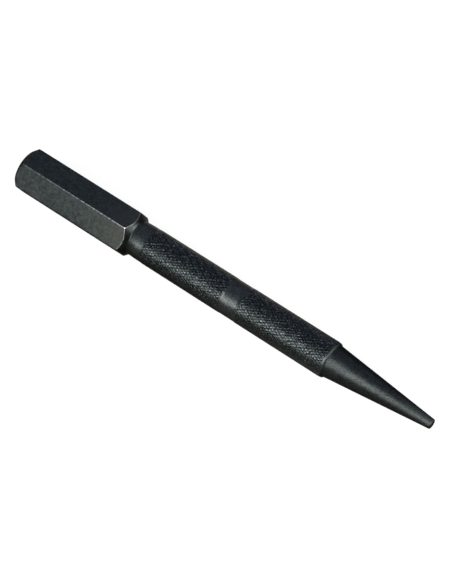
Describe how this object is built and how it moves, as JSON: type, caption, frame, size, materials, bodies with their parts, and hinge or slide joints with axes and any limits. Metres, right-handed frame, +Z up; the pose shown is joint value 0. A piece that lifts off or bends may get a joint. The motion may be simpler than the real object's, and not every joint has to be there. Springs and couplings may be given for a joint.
{
  "type": "nail setter",
  "caption": "Black steel nail setter: hexagonal striking head, turned neck, diamond-knurled grips parted by a plain waist, and a tapered nose with a cupped point that sinks nail heads.",
  "frame": {"origin": "middle of the tool's length, on the surface that the head's lower flat rests on", "axes": "+X along the bar from the striking face to the cup point, +Z up, square to the flat the tool rests on"},
  "size_m": [0.105, 0.011, 0.0095],
  "materials": {
    "head_steel": "black oxide over drawn hexagonal bar, satin, edges worn bright",
    "shank_steel": "black oxide over a smooth turned surface, satin",
    "knurled_steel": "black oxide over a rolled diamond knurl",
    "nose_steel": "black oxide over a ground taper, satin",
    "point_steel": "black oxide, rubbed thinner at the tip"
  },
  "bodies": {
    "root": {"striking_head": "head_steel", "neck": "shank_steel", "upper_grip": "knurled_steel", "waist": "shank_steel", "lower_grip": "knurled_steel", "nose": "nose_steel", "cup_point": "point_steel"}
  },
  "joints": []
}
